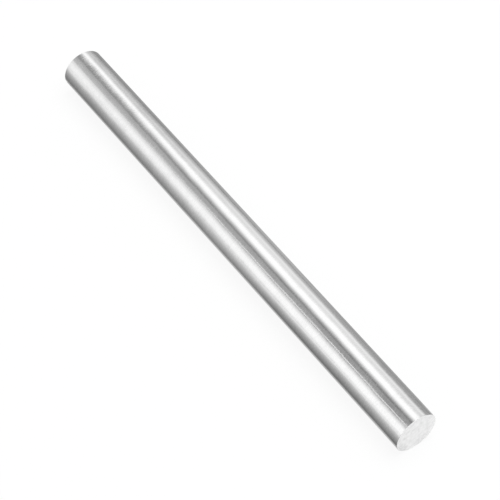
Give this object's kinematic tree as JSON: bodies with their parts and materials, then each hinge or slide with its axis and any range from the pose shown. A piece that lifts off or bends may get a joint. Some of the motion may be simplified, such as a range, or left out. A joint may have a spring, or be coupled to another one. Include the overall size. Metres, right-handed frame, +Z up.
{
  "type": "titanium round bar",
  "caption": "Solid round bar of titanium stock with a ground bright surface, square cut ends and lightly broken edges, lying on its side.",
  "frame": {"origin": "on the floor under the middle of the bar, at the bottom centre of its bounding box", "axes": "+X along the bar's own axis, towards the cut face that faces the viewer; +Z up from the floor"},
  "size_m": [0.25, 0.02, 0.02],
  "materials": {
    "ground_titanium": "gloss"
  },
  "bodies": {
    "root": {"round_bar": "ground_titanium"}
  },
  "joints": []
}
